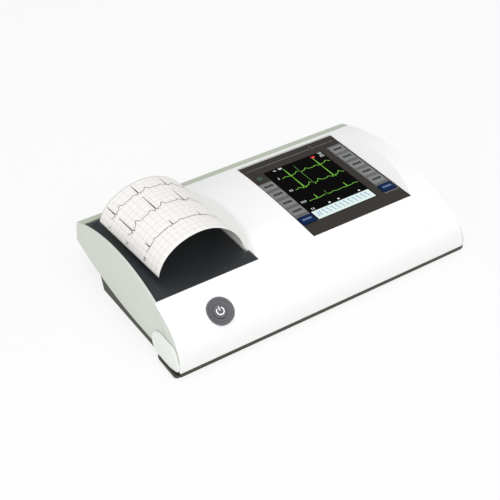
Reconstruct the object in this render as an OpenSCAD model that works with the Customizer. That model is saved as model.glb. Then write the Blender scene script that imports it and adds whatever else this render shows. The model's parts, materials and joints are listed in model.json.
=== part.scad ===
// Portable three-channel ECG recorder: arched desktop housing with a flat keypad panel and
// screen on the right, and a fold-paper thermal printer under a rear-hinged lid on the left.
// Origin: middle of the footprint on the table. +X to the user's right, +Y to the rear, +Z up.

/* [Housing] */
// Width across the lower edges of the two cheeks
body_w = 254; // [244:1:280]
// Depth from the nose to the rear wall
body_d = 152; // [148:1:164]
// Height of the level deck that the lid and the keypad panel lie in
deck_h = 41; // [39:0.5:46]
// Rise of the arched cover above the deck
arch_rise = 8.6; // [6:0.1:11]
// Distance from the nose to the front of the deck
deck_front = 36; // [34:0.5:40]
// Depth of the green strip behind the deck
strip_d = 9.6; // [8:0.2:12]
// Height of the cover's front edge above the table
edge_h = 5; // [4:0.25:7]
// Inward lean of the cheeks, as sideways shift per height
side_draft = 0.08; // [0.04:0.01:0.1]
// Thickness of the cheeks
cheek_t = 1.8; // [1.4:0.1:2.4]
// Thickness of the top cover's skin
wall_t = 2.2; // [1.8:0.1:2.8]
// How far the cover's rim comes down over the cheeks
rim_t = 1.5; // [1:0.1:1.7]
// Thickness of the lower housing's rear wall and underside
floor_t = 2.4; // [2:0.1:3]
// Height of the cheeks' lower edge along the front half
belly_h = 7; // [6:0.5:9]
// Length of the level stretch of that lower edge
belly_flat = 55; // [45:1:65]
// Rise of that lower edge from the level stretch to the rear wall
belly_rise = 14.4; // [12:0.2:16]
// Gap between housing parts that only meet
seam = 0.3; // [0.2:0.05:0.5]

/* [Base] */
// Length of the base tray along the table, from the nose
base_len = 110; // [100:1:118]
// Inset of the base tray's sides from the cheeks
base_inset = 1; // [0.8:0.1:2.5]
// Inset of the base tray's front lip from the nose
lip_inset = 0.5; // [0.3:0.1:1.5]
// Thickness of the base tray
base_t = 2; // [1.6:0.1:2.6]
// Backward lean of the tray's rear end
base_lean = 6.5; // [4:0.5:9]
// Radius of a rubber foot
foot_r = 6; // [5:0.5:8]
// Height that a foot holds the tray above the table
foot_h = 0.5; // [0.4:0.1:1.2]
// Distance of the feet's centres from the tray's sides
foot_in = 13; // [10:1:18]

/* [Corner caps] */
// Length of a corner cap from front to rear
cap_len = 36; // [30:1:42]
// Height of a corner cap at its rounded rear end
cap_h = 19; // [16:0.5:21]
// How far a cap stands proud of the cheek
cap_t = 2; // [1.4:0.1:2.6]
// How far the base tray's corners stand out from under the caps
plinth_out = 0.8; // [0.4:0.1:1.2]

/* [Printer] */
// Width of the chart paper
paper_w = 80; // [76:1:82]
// Thickness of the chart paper strip
paper_t = 0.3; // [0.2:0.05:0.4]
// Width of the lid from its hinge side ends
lid_w = 79.2; // [76:0.2:82]
// Thickness of the lid
lid_t = 2.2; // [1.8:0.1:2.8]
// Radius of the lid's hinge barrel
barrel_r = 2.6; // [2.4:0.1:3]
// Radius of the hinge pins
pin_r = 1.2; // [1:0.1:1.5]
// Radial running clearance on pins and shafts
run_gap = 0.05; // [0.03:0.01:0.08]
// Width of the paper slot between the lid and the screen housing
slot_w = 3.3; // [2.8:0.1:4]
// Radius of the rubber platen roller
platen_r = 5.5; // [5:0.1:5.8]
// Radius of the platen shaft
shaft_r = 2; // [1.8:0.1:2.4]
// Length of one fold of the paper pad
fold_len = 62; // [54:1:64]
// Height of the paper pad
pad_h = 11; // [8:0.5:12]
// Height of the printed strip's arch above the deck
strip_rise = 31.2; // [26:0.2:36]
// Reach of the strip's arch from the slot to its leading edge
strip_reach = 70.5; // [62:0.5:72]
// Height of the strip's leading edge above the deck
strip_end_h = 5.5; // [3:0.5:9]
// Gear module of the feed train
gear_m = 0.6; // [0.55:0.01:0.62]
// Face width of the feed gears
gear_b = 4; // [3:0.5:5]
// Radius of the stepper motor's can
motor_r = 10; // [9:0.5:11]
// Length of the stepper motor's can
motor_len = 28; // [20:1:34]

/* [Keypad panel] */
// Width of the panel
panel_w = 91.5; // [88:0.5:96]
// Depth of the panel
panel_d = 101.5; // [96:0.5:102]
// Thickness of the panel
panel_t = 1.6; // [1.4:0.1:2]
// Distance from the panel's right side to the housing's right side
panel_right = 26; // [23:0.5:32]
// Width of the visible screen
screen_w = 54.7; // [50:0.1:56]
// Depth of the visible screen
screen_d = 72; // [68:0.5:74]
// Distance from the panel's left side to the screen
screen_left = 15.2; // [15:0.1:16]
// Distance from the panel's front to the screen
screen_front = 14.4; // [12:0.1:18]
// Width of a key
key_w = 12.4; // [11:0.1:13]
// Depth of a key
key_d = 9.6; // [8:0.1:10.4]
// Distance from one key to the next
key_pitch = 12.5; // [11.8:0.1:12.8]
// How far a key stands above the panel
key_proud = 0.7; // [0.6:0.1:1]
// Travel of a key
key_travel = 0.5; // [0.3:0.05:0.6]

/* [Power button] */
// Distance of the button from the housing's left side
button_in = 41.8; // [30:0.2:60]
// Backward tilt of the button's face from the table
button_tilt = 33; // [28:0.5:38]
// Radius of the grey ring
ring_r = 10.2; // [9:0.1:11]
// Radius of the moving cap
cap_r = 5.5; // [4.5:0.1:6.5]
// Travel of the cap
cap_travel = 1.2; // [0.8:0.1:1.4]

/* [Hidden] */
$fn = 64;
eps = 0.01;
far = 400;

// housing
left = -body_w/2;
front = -body_d/2;
strip_y = body_d - strip_d;               // front of the rear strip, from the nose
deck_rear = strip_y - 1.4;
arch_y = (deck_front + deck_rear)/2;      // where the arch is highest, from the nose
arch_half = (deck_rear - deck_front)/2;
arch_r = (arch_half*arch_half + arch_rise*arch_rise)/(2*arch_rise);
crest_h = deck_h + arch_rise;
arch_z = crest_h - arch_r;
nose_z = edge_h + 1;
nose_dz = nose_z - arch_z;
nose_r = (arch_r*arch_r - arch_y*arch_y - nose_dz*nose_dz)/(2*(arch_r - arch_y));
blend_a = atan2(nose_dz, nose_r - arch_y);
belly_run = body_d - belly_flat;
belly_r = (belly_run*belly_run + belly_rise*belly_rise)/(2*belly_rise);
cover_rear = strip_y - seam;
skirt_z = deck_h - 11;                    // the cover's side skirts end here behind the front
pocket_wall = 0.6;                        // lean of the panel pocket's left wall
slope = 0.95;                             // lean of the pocket's right wall and the slot wall

// base tray
tray_z = foot_h;
tray_floor = tray_z + base_t;
tray_y0 = wall_t + seam;
corner_cut = 4;                           // the cheeks' lower front corner is cut back by this much
cap_z = 3;                                // underside of the corner caps
plinth_x = -left + cap_t + plinth_out;
plinth_h = cap_z - 0.1 - tray_z;

// printer
lid_x0 = left + side_draft*crest_h + cheek_t + 0.2;   // clear of the leaning cheek up to its crest
lid_x1 = lid_x0 + lid_w;
slot_x = lid_x1 + slot_w;
barrel_y = strip_y - 1 - barrel_r;        // hinge axis, from the nose
barrel_z = deck_h - barrel_r;
knuckle = 4;                              // width of a frame knuckle
lid_y0 = deck_front + seam;
lid_rear = barrel_y - barrel_r - 0.2;
platen_x = lid_x1 - 4.7;
platen_z = deck_h - lid_t - platen_r - 0.5;
web_gap = 0.1;                            // between the platen and the sheet round it
web_x = platen_x + platen_r + web_gap;    // left face of the paper at the platen
room_y0 = lid_y0 + 4;                     // the paper's room runs from behind the lid's front tab
room_y1 = barrel_y - pin_r - 1.3;         // to the hinge pins
paper_y0 = room_y0 + 0.7*(room_y1 - room_y0 - paper_w);
paper_y1 = paper_y0 + paper_w;
slot_y0 = paper_y0 - 3.2;                  // ends of the open slot
slot_y1 = paper_y1 + 3.2;
plate_t = 2;
plate_y0 = paper_y0 - 3.2 - plate_t;      // front plate of the mechanism
plate_y1 = paper_y1 + 3.2;                // rear plate
bay_wall = 1.6;
bay_x0 = lid_x0 + 0.4;
bay_z = belly(plate_y1 + plate_t) + floor_t + 0.6;
post_z = belly(barrel_y + barrel_r) + floor_t + seam;   // underside of the hinge posts
head_x = web_x + paper_t + 0.15;
spring_len = 1.6;
bracket_x = head_x + 3.6 + spring_len;

// feed gears
platen_teeth = 16;
idler_teeth = 30;
pinion_teeth = 12;
mesh_gap = 0.12;
gear_room = 0.4;                          // clear space round the platen's gear
gear_y = plate_y0 - 1 - gear_b;
idler_dist = gear_m*(platen_teeth + idler_teeth)/2 + mesh_gap;
idler_a = -30;
idler_x = platen_x + idler_dist*cos(idler_a);
idler_z = platen_z + idler_dist*sin(idler_a);
pinion_dist = gear_m*(idler_teeth + pinion_teeth)/2 + mesh_gap;
pinion_a = -25;
pinion_x = idler_x + pinion_dist*cos(pinion_a);
pinion_z = idler_z + pinion_dist*sin(pinion_a);
platen_phase = idler_a;
idler_phase = mate_phase(platen_phase, platen_teeth, idler_teeth, idler_a);
pinion_phase = mate_phase(idler_phase, idler_teeth, pinion_teeth, pinion_a);

// keypad panel
panel_x1 = body_w/2 - panel_right;
panel_x0 = panel_x1 - panel_w;
panel_y0 = deck_front - 0.3;
panel_fit = 0.06;
panel_z = deck_h - panel_t;
ledge = 3;
ledge_t = 1.6;
screen_x0 = panel_x0 + screen_left;
screen_x1 = screen_x0 + screen_w;
screen_y0 = panel_y0 + screen_front;
screen_y1 = screen_y0 + screen_d;
window_lip = 0.6;
window_t = 0.8;
flange = 0.6;                             // a key's flange under the panel, at its front and rear
flange_t = 0.8;
key_gap = 0.2;
key_row_y = screen_y0 + key_d/2;          // the front row of keys
key_x_left = panel_x0 + 1.6 + key_w/2;
key_x_right = panel_x1 - 1.8 - key_w/2;
switch_gap = 0.1;                         // left under a pressed key
keypad_z = panel_z - flange_t - key_travel - switch_gap;
keypad_t = 1.2;
rib = key_pitch - key_d - 2*flange - 0.5;    // spacer between two keys' flanges
lcd_t = 6;
lcd_edge = 0.8;
lcd_z = panel_z - lcd_t;

// power button
button_x = left + button_in;
button_y = nose_r*(1 - sin(button_tilt));
button_z = nose_z + nose_r*cos(button_tilt);
ring_depth = 5;
ring_dish = 1.1;
ring_proud = 0.4;
switch_z = -ring_depth - 1.6 - cap_travel - switch_gap;
peg_x = (ring_r + 1)*0.86;
peg_y = (ring_r + 1)*0.5;

// boards
main_t = 1.6;
main_z = tray_floor + 3;
main_x0 = slot_x + 4;
main_x1 = body_w/2 - 11;
main_y0 = 22;
main_y1 = base_len - 8;
main_w = main_x1 - main_x0;
main_d = main_y1 - main_y0;
post_r = 3;
screw_r = 1.4;
input_x0 = slot_x + 18;
input_w = 62;
input_z = belly(body_d) + floor_t + 1.6;
socket_z = (belly(body_d) + arch_top(body_d))/2;
socket_x = input_x0 + input_w/2;
jack_pitch = 33.3;                        // between the two jackscrews of the cable socket
jack_r = 2.6;
jack_bore = 1.4;
port_x = panel_x1 - 5.5;
inlet_x = port_x - 24;
cell_r = 7.1;
cells = 5;
cell_len = 50;
cell_pitch = 2*cell_r - 0.4;
pack_w = cell_pitch*(cells - 1) + 2*cell_r + 1;
pack_x0 = lid_x0 + 4;
pack_y0 = 32;

// colours
white = [0.97, 0.97, 0.96];
sage = [0.74, 0.79, 0.72];
olive = [0.24, 0.25, 0.2];
black = [0.14, 0.15, 0.16];
grey = [0.5, 0.51, 0.5];
navy = [0.06, 0.15, 0.33];
steel = [0.7, 0.71, 0.72];
board = [0.1, 0.36, 0.2];
rubber = [0.12, 0.12, 0.12];

// distance from the nose to a y place
function yn(d) = front + d;
// points on an arc in the side view
function arc(c, r, a0, a1, n) = [for (i = [0:n]) c + r*[cos(a0 + (a1 - a0)*i/n), sin(a0 + (a1 - a0)*i/n)]];
// height of the arched top at a distance from the nose
function arch_top(y) = arch_z + sqrt(arch_r*arch_r - (y - arch_y)*(y - arch_y));
// height of the cheeks' lower edge at a distance from the nose
function belly(y) = y < belly_flat ? belly_h
    : belly_h + belly_r - sqrt(belly_r*belly_r - (y - belly_flat)*(y - belly_flat));
// outline of the arch and the nose, from a rear end at y to the front, set in by i
function crown(i, y) = concat(
    arc([arch_y, arch_z], arch_r - i, acos((y - arch_y)/(arch_r - i)), blend_a, 36),
    arc([nose_r, nose_z], nose_r - i, blend_a, 180, 16));
// tooth angle of a gear that meshes with another one standing at angle a from it
function mate_phase(phase, teeth, mate_teeth, a) =
    a + 180 - 180/mate_teeth + teeth*(a - phase)/mate_teeth;

// an outline in the side view (y from the nose, z), drawn across the width
module across(x0, x1) translate([x0, front, 0]) rotate([90, 0, 90]) linear_extrude(x1 - x0) children();
// an outline in the front view (x, z), drawn between two distances from the nose
module along(y0, y1) translate([0, yn(y1), 0]) rotate([90, 0, 0]) linear_extrude(y1 - y0) children();
// a box given by its two corners, with y from the nose
module block(a, b) translate([a.x, yn(a.y), a.z]) cube(b - a);
// a cylinder along +Y, starting at a distance from the nose
module rod(x, y, z, r, len) translate([x, yn(y), z]) rotate([-90, 0, 0]) cylinder(r = r, h = len);
// a cylinder along +X
module bar(x, y, z, r, len) translate([x, yn(y), z]) rotate([0, 90, 0]) cylinder(r = r, h = len);
// an upright cylinder
module post(x, y, z, r, h) translate([x, yn(y), z]) cylinder(r = r, h = h);
// a plate with rounded corners, its corner radius r
module rounded(w, d, h, r) linear_extrude(h) {
    square([w - 2*r, d], center = true);
    square([w, d - 2*r], center = true);
    for (sx = [-1, 1], sy = [-1, 1]) translate([sx*(w/2 - r), sy*(d/2 - r)]) circle(r);
}

// everything between the two leaning cheek planes, set in by i
module flanks(i) {
    low = -10;
    high = crest_h + 12;
    along(-20, body_d + 20) polygon([[left + i + side_draft*low, low], [-left - i - side_draft*low, low],
        [-left - i - side_draft*high, high], [left + i + side_draft*high, high]]);
}

// the body under the arch, set in by i, from the nose to a rear end, down to a level
module dome(i, rear, low) across(left - 5, -left + 5)
    polygon(concat([[rear, low]], crown(i, rear), [[i, low]]));

module side_outline() polygon(concat(crown(0, body_d), [[0, edge_h], [corner_cut, belly_h]],
    arc([belly_flat, belly_h + belly_r], belly_r, -90, -90 + asin(belly_run/belly_r), 24)));

// the hollow inside the lower housing, in the side view
module hollow_outline() {
    rear = body_d - floor_t;
    run = rear - belly_flat;
    start = base_len - 1;
    in_r = belly_r - floor_t;
    polygon(concat([[-9, -9], [start, -9]],
        arc([belly_flat, belly_h + belly_r], in_r, -90 + asin((start - belly_flat)/in_r),
            -90 + asin(run/in_r), 12),
        [[rear, arch_top(rear) - floor_t], [strip_y + seam, arch_top(strip_y) - floor_t],
        [strip_y + seam, far], [-9, far]]));
}

// a D-shaped outline of a connector face in the rear wall
module socket_face(w, h) polygon([[-w/2, h/2], [w/2, h/2], [w/2 - h*0.18, -h/2], [-w/2 + h*0.18, -h/2]]);

module rear_cut(x, z, w, h) block([x - w/2, body_d - 9, z - h/2], [x + w/2, body_d + 5, z + h/2]);

// the part of the cheeks' edges that the cover's rim takes: the front on the left, all of the right
module rim_zone(gap) {
    block([left - 9, -9, 0], [0, deck_front + gap, far]);
    block([-1, -9, 0], [-left + 9, cover_rear + gap, far]);
}

module lower_housing() color(sage) difference() {
    union() {
        difference() {
            intersection() {
                flanks(0);
                across(left - 5, -left + 5) side_outline();
            }
            intersection() {
                flanks(cheek_t);
                across(left - 5, -left + 5) hollow_outline();
            }
        }
        for (x = rear_posts) post(x, rear_post_y, belly(rear_post_y) + 0.8, post_r, floor_t + 1.4);
        for (x = [input_x0 + 3, input_x0 + input_w - 3]) post(x, rear_post_y + 6,
            belly(rear_post_y + 6) + 1, 2, input_z - 1.6 - belly(rear_post_y + 6) - 1);
    }
    for (sx = [-1, 1]) rod(socket_x + sx*jack_pitch/2, body_d - 9, socket_z, jack_r + 0.3, 20);
    rear_cut(socket_x, socket_z, 27, 10.4);
    rear_cut(inlet_x, socket_z, 9.4, 9.4);
    rear_cut(port_x, socket_z, 9.4, 4.4);
    difference() {
        rim_zone(seam);
        dome(rim_t, body_d + 5, -20);
    }
    for (x = rear_posts) {
        post(x, rear_post_y, 0, screw_r + run_gap, 40);
        post(x, rear_post_y, 0, 2*screw_r + 0.2, belly(rear_post_y) + 1.6);
    }
}

// screw places: two near the nose through the tray, two near the rear through the underside
front_posts = [left + 13, -left - 13];
front_post_y = 15;
rear_posts = [slot_x + 14, -left - 13];
rear_post_y = body_d - 27;

module cover_posts() {
    for (x = front_posts) post(x, front_post_y, tray_floor + 2.2, post_r, 26);
    for (x = rear_posts) post(x, rear_post_y, belly(rear_post_y) + floor_t + 2.4, post_r, 34);
}

// front view of the open bay, with the slot wall leaning away above the deck
module bay_void(grow) polygon([[left - 9, -9], [slot_x + grow, -9], [slot_x + grow, deck_h],
    [slot_x + grow + slope*20, deck_h + 20], [left - 9, deck_h + 20]]);

// front view of the panel's pocket down to a level
module pocket_void(grow, low) polygon([[panel_x0 - grow, low], [panel_x1 + grow, low],
    [panel_x1 + grow, deck_h], [panel_x1 + grow + slope*20, deck_h + 20],
    [panel_x0 - grow - pocket_wall*20, deck_h + 20], [panel_x0 - grow, deck_h]]);

module at_button() translate([button_x, yn(button_y), button_z]) rotate([button_tilt, 0, 0]) children();

module cover_blank() intersection() {
    flanks(cheek_t + seam);
    dome(0, cover_rear, edge_h);
}

module top_cover() color(white) difference() {
    union() {
        difference() {
            cover_blank();
            intersection() {
                flanks(cheek_t + seam + wall_t);
                dome(wall_t, cover_rear + 5, -9);
            }
            block([left - 5, deck_front - 9, -9], [-left + 5, body_d + 5, skirt_z]);
            block([left - 5, wall_t + seam/2, -9], [-left + 5, deck_front, belly_h]);
            along(deck_front, body_d + 5) bay_void(0);
        }
        intersection() {
            flanks(0);
            rim_zone(0);
            difference() {
                dome(0, cover_rear, edge_h);
                dome(rim_t - seam, cover_rear + 5, -9);
            }
        }
        intersection() {
            cover_blank();
            union() {
                difference() {
                    along(deck_front - wall_t, cover_rear) bay_void(wall_t);
                    along(deck_front, body_d) bay_void(0);
                    block([left - 5, 0, -9], [-left + 5, body_d, deck_h - 4]);
                }
                along(panel_y0 - wall_t, panel_y0 + panel_d + wall_t)
                    pocket_void(wall_t, panel_z - ledge_t);
                at_button() {
                    translate([0, 0, -ring_depth - 1]) cylinder(r = ring_r + 2, h = 12);
                    for (sx = [-1, 1], sy = [-1, 1]) translate([sx*peg_x, sy*peg_y, switch_z - 3])
                        cylinder(r = 1.2, h = ring_depth);
                }
                cover_posts();
            }
        }
    }
    along(panel_y0 - panel_fit, panel_y0 + panel_d + panel_fit) pocket_void(panel_fit, panel_z);
    block([panel_x0 + ledge, panel_y0 + ledge, panel_z - 9],
        [panel_x1 - ledge, panel_y0 + panel_d - ledge, deck_h]);
    block([panel_x0 + 0.8, screen_y0 - lcd_edge - 3, panel_z - 9],
        [panel_x1 - 0.8, screen_y1 + lcd_edge + 3, deck_h]);
    at_button() translate([0, 0, -ring_depth - 3]) cylinder(r = ring_r + 0.05, h = 20);
    for (x = front_posts) post(x, front_post_y, 0, screw_r + run_gap, 20);
    for (x = rear_posts) post(x, rear_post_y, 0, screw_r + run_gap, belly(rear_post_y) + 18);
    rod(platen_x, gear_y - gear_room, platen_z, gear_m*(platen_teeth/2 + 0.85) + gear_room,
        gear_b + 2*gear_room);
}

module tray_outline(i) polygon(concat([[tray_y0 + i, tray_z + i], [base_len - i, tray_z + i],
    [base_len + base_lean - i, belly(base_len + base_lean) - seam + 9*i]],
    [for (y = [base_len:-5:belly_flat]) [y - i, belly(y) - seam + 9*i]],
    [[corner_cut + seam + i, belly_h - seam + 9*i], [tray_y0 + i, edge_h + 0.6 + 9*i]]));

// the tray's right front corner, which stands out from under the cap
module plinth() translate([0, 0, tray_z]) linear_extrude(plinth_h) hull() {
    for (x = [3, 9]) translate([plinth_x - x, yn(4)]) circle(3);
    for (x = [5.4, 9]) translate([plinth_x - x, yn(cap_len*0.66)]) circle(5);
}

module base_tray() color(olive) difference() {
    union() {
        difference() {
            intersection() {
                flanks(base_inset);
                across(left, -left) tray_outline(0);
            }
            intersection() {
                flanks(base_inset + base_t);
                across(left, -left) tray_outline(base_t);
            }
        }
        intersection() {
            flanks(base_inset);
            block([left, lip_inset, tray_z], [-left, tray_y0 + base_t, edge_h - seam]);
        }
        for (side = [0, 1]) mirror([side, 0, 0]) plinth();
        for (x = front_posts) post(x, front_post_y, tray_z, post_r + 1, base_t + 2);
        for (p = board_posts) post(p.x, p.y, tray_z, post_r, main_z - tray_z);
    }
    for (x = front_posts) {
        post(x, front_post_y, 0, screw_r + run_gap, 40);
        post(x, front_post_y, 0, 2*screw_r + 0.2, tray_z + 2);
    }
    for (p = board_posts) post(p.x, p.y, tray_floor, screw_r, 20);
    block([pack_x0 - 2, pack_y0 - 2, 0], [pack_x0 + pack_w + 2, pack_y0 + cell_len + 2, tray_z + 1.1]);
    block([pack_x0, pack_y0, 0], [pack_x0 + pack_w, pack_y0 + cell_len, tray_floor + 1]);
}

module rubber_feet() color(rubber)
    for (sx = [-1, 1], y = [foot_in, base_len - foot_in])
        translate([sx*(-left - base_inset - foot_in), yn(y), 0]) {
            cylinder(r1 = foot_r - 0.4, r2 = foot_r, h = foot_h);
        }

// teardrop boss, drawn on the left cheek
module corner_cap() {
    mid_z = cap_h/2 + cap_z;
    lean = atan(side_draft);
    translate([left, 0, 0]) rotate([0, lean, 0]) difference() {
        hull() {
            cap_disc(cap_len - cap_h/2, mid_z, cap_h/2);
            cap_disc(cap_h/2 + 2.4, mid_z, cap_h/2);
            cap_disc(4, edge_h + 4, 4);
        }
        translate([0, yn(-20), -20]) cube([20, 90, 90]);
    }
}

module cap_disc(y, z, r) translate([0, yn(y), z]) rotate([0, -90, 0]) {
    cylinder(r = r, h = cap_t*0.6, $fn = 32);
    cylinder(r = r - 0.9, h = cap_t, $fn = 32);
}

module corner_cap_left() color(white) corner_cap();
module corner_cap_right() color(white) mirror([1, 0, 0]) corner_cap();

module battery_door() color(olive) {
    block([pack_x0 - 2 + seam, pack_y0 - 2 + seam, tray_z],
        [pack_x0 + pack_w + 2 - seam, pack_y0 + cell_len + 2 - seam, tray_z + 1]);
}

module battery_pack() color([0.12, 0.3, 0.55]) {
    z = tray_z + 1.3 + cell_r;
    x0 = pack_x0 + 0.5 + cell_r;
    for (i = [0:cells - 1]) rod(x0 + cell_pitch*i, pack_y0 + 0.4, z, cell_r, cell_len - 0.8);
    block([x0, pack_y0 + 2, z - cell_r + 1], [x0 + cell_pitch*(cells - 1), pack_y0 + cell_len - 2,
        z + cell_r - 1]);
}

module screw(x, y, z, len) {
    post(x, y, z, 2*screw_r, 1.6);
    post(x, y, z, screw_r, len);
}

module housing_screws() color(steel) {
    for (x = front_posts) screw(x, front_post_y, tray_z + 0.4, 14);
    for (x = rear_posts) screw(x, rear_post_y, belly(rear_post_y), 16);
}

module printer_lid() color(black) difference() {
    in_x0 = lid_x0 + knuckle + 0.3;
    in_x1 = lid_x1 - knuckle - 0.3;
    union() {
        block([lid_x0, lid_y0, deck_h - lid_t], [lid_x1, lid_rear, deck_h]);
        bar(in_x0, barrel_y, barrel_z, barrel_r, in_x1 - in_x0);
        block([in_x0, lid_rear - 1, deck_h - lid_t], [in_x1, barrel_y, deck_h]);
        block([lid_x1 - 1, lid_y0, deck_h - lid_t], [slot_x - seam, slot_y0, deck_h]);
        block([lid_x1 - 1, slot_y1, deck_h - lid_t], [slot_x - seam, lid_rear, deck_h]);
    }
    for (x = [in_x0 - 1, in_x1 - 8]) bar(x, barrel_y, barrel_z, pin_r + run_gap, 9);
}

module hinge_pins() color(steel) {
    bar(lid_x0 + 0.4, barrel_y, barrel_z, pin_r, knuckle + 7);
    bar(lid_x1 - 0.4 - knuckle - 7, barrel_y, barrel_z, pin_r, knuckle + 7);
}

module printer_frame() color([0.2, 0.21, 0.22]) difference() {
    front_wall = min(lid_y0 + 0.8, plate_y0 + plate_t - eps);
    union() {
        difference() {
            block([bay_x0, front_wall, bay_z], [platen_x - 9, plate_y1 + plate_t, deck_h - lid_t - 0.4]);
            block([bay_x0 + bay_wall, front_wall + bay_wall, bay_z + bay_wall],
                [platen_x, plate_y1, deck_h]);
        }
        block([platen_x - 10, plate_y0, bay_z], [bracket_x + 1.2, plate_y1 + plate_t, bay_z + bay_wall]);
        block([bracket_x, plate_y0 + 1, bay_z], [bracket_x + 1.2, plate_y1 + 1, platen_z - 0.4]);
        block([bay_x0, plate_y0, bay_z], [platen_x - 9, plate_y0 + plate_t, deck_h - 4.4]);
        block([platen_x - 10, plate_y0, bay_z], [pinion_x + 10, plate_y0 + plate_t, platen_z + 3]);
        block([idler_x - 4, plate_y0, pinion_z - motor_r - 1],
            [pinion_x + 10, plate_y0 + plate_t, bay_z + 1]);
        block([platen_x - 10, plate_y1, bay_z], [bracket_x + 1.2, plate_y1 + plate_t, platen_z + 3]);
        for (x = [lid_x0, lid_x1 - knuckle]) {
            bar(x, barrel_y, barrel_z, barrel_r, knuckle);
            block([x, barrel_y - barrel_r, post_z], [x + knuckle, barrel_y + barrel_r, barrel_z]);
            block([x, plate_y1, post_z], [x + knuckle, barrel_y + barrel_r, barrel_z - barrel_r - 2]);
        }
    }
    for (x = [lid_x0 - 1, lid_x1 - knuckle - 1]) bar(x, barrel_y, barrel_z, pin_r, knuckle + 2);
    bar(lid_x0 + knuckle, barrel_y, barrel_z, barrel_r + seam + 0.1, lid_w - 2*knuckle);
    rod(platen_x, plate_y0 - 1, platen_z, bush_r, paper_w + 20);
    rod(idler_x, plate_y0 - 1, idler_z, pin_r, 5);
    rod(pinion_x, plate_y0 - 1, pinion_z, shaft_r*0.6 + 0.3, 5);
}

bush_r = shaft_r + 1.3;

module platen_shaft() color(steel) rod(platen_x, gear_y - 0.6, platen_z, shaft_r,
    plate_y1 + plate_t + 1.5 - gear_y);

module platen_roller() color(rubber) difference() {
    rod(platen_x, paper_y0 - 1, platen_z, platen_r, paper_w + 2);
    rod(platen_x, paper_y0 - 2, platen_z, shaft_r, paper_w + 4);
}

module shaft_bushes() color([0.85, 0.85, 0.8]) for (y = [plate_y0, plate_y1]) difference() {
    rod(platen_x, y, platen_z, bush_r, plate_t);
    rod(platen_x, y - 1, platen_z, shaft_r + run_gap, plate_t + 2);
}

module gear_outline(teeth) {
    r = gear_m*teeth/2;
    half = 90/teeth;
    root = r - 1.2*gear_m;
    tip = r + 0.85*gear_m;
    polygon([for (i = [0:teeth - 1], p = [[root, -1.25], [r, -0.76], [tip, -0.34], [tip, 0.34],
        [r, 0.76], [root, 1.25]]) p[0]*[cos(360*i/teeth + p[1]*half), sin(360*i/teeth + p[1]*half)]]);
}

// a spur gear in the feed train's plane; its first tooth stands at angle phase
module gear(x, z, teeth, phase, bore) difference() {
    translate([x, yn(gear_y + gear_b), z]) rotate([90, 0, 0]) linear_extrude(gear_b)
        rotate(phase) gear_outline(teeth);
    rod(x, gear_y - 1, z, bore, gear_b + 2);
}

module platen_gear() color(white) gear(platen_x, platen_z, platen_teeth, platen_phase, shaft_r);
module idler_gear() color(white) gear(idler_x, idler_z, idler_teeth, idler_phase, pin_r + run_gap);
module motor_pinion() color([0.8, 0.65, 0.3])
    gear(pinion_x, pinion_z, pinion_teeth, pinion_phase, shaft_r*0.6);

module idler_pin() color(steel) {
    rod(idler_x, gear_y - 0.4, idler_z, pin_r, plate_y0 + plate_t - gear_y + 0.4);
    rod(idler_x, gear_y - 1.2, idler_z, pin_r + 1, 0.9);
}

module stepper_motor() color(steel) difference() {
    union() {
        rod(pinion_x, plate_y0 + plate_t, pinion_z, motor_r, motor_len);
        block([pinion_x - 4, plate_y0 + plate_t, pinion_z - motor_r - 2.5],
            [pinion_x + 4, plate_y0 + plate_t + 1, pinion_z + motor_r + 2.5]);
    }
    rod(pinion_x, plate_y0, pinion_z, shaft_r*0.6 + run_gap, 12);
}

module motor_shaft() color(steel)
    rod(pinion_x, gear_y, pinion_z, shaft_r*0.6, plate_y0 + plate_t + 7 - gear_y);

module print_head() color([0.75, 0.76, 0.78]) {
    y0 = paper_y0 - 1;
    y1 = paper_y1 + 1;
    block([head_x + 0.8, y0, bay_z + bay_wall], [head_x + 3.6, y1, platen_z + 4]);
    block([head_x, y0, platen_z - 2], [head_x + 0.8, y1, platen_z + 2]);
}

module head_springs() color(steel) for (y = [paper_y0 + 14, paper_y1 - 14]) difference() {
    bar(head_x + 3.6, y, platen_z - 3, 2.4, spring_len);
    bar(head_x + 3.5, y, platen_z - 3, 1.8, spring_len + 1);
}

module tear_bar() color(white) {
    x = slot_x - 0.7;
    block([x, paper_y0 - 2, deck_h - 3.6], [x + 0.7, paper_y1 + 2, deck_h - 0.8]);
    teeth = 41;
    for (i = [0:teeth - 1]) translate([x, yn(paper_y0 - 2 + (paper_w + 4)*(i + 0.5)/teeth), deck_h - 1])
        rotate([90, 0, 90]) linear_extrude(0.7) polygon([[-0.95, 0], [0.95, 0], [0, 1.2]]);
}

module paper_pad() color([0.98, 0.97, 0.95]) {
    x1 = platen_x - 10.5;
    block([x1 - fold_len, paper_y0, bay_z + bay_wall + 0.05], [x1, paper_y1, bay_z + bay_wall + pad_h]);
}

// where a straight sheet from a point left of the platen meets a circle of radius r round it
function wrap_a(p, r) = let (v = p - [platen_x, platen_z], a = atan2(v.y, v.x))
    (a < 0 ? a + 360 : a) + acos(r/norm(v));

// the sheet from the top of the pad, round the underside of the platen and up to the strip
module paper_web() color([0.98, 0.97, 0.95]) {
    lead = 20;                            // length that lies on the pad
    edge = platen_x - 10.4;               // just past the pad's end
    low = bay_z + bay_wall + pad_h + 0.05;
    high = low + paper_t;
    in_r = platen_r + web_gap;
    out_r = in_r + paper_t;
    centre = [platen_x, platen_z];
    end_z = platen_z + 4.3;
    along(paper_y0, paper_y1) polygon(concat([[edge - lead, low], [edge, low]],
        arc(centre, out_r, wrap_a([edge, low], out_r), 360, 20),
        [[platen_x + out_r, end_z], [platen_x + in_r, end_z]],
        arc(centre, in_r, 360, wrap_a([edge, high], in_r), 20),
        [[edge, high], [edge - lead, high]]));
}

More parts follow.
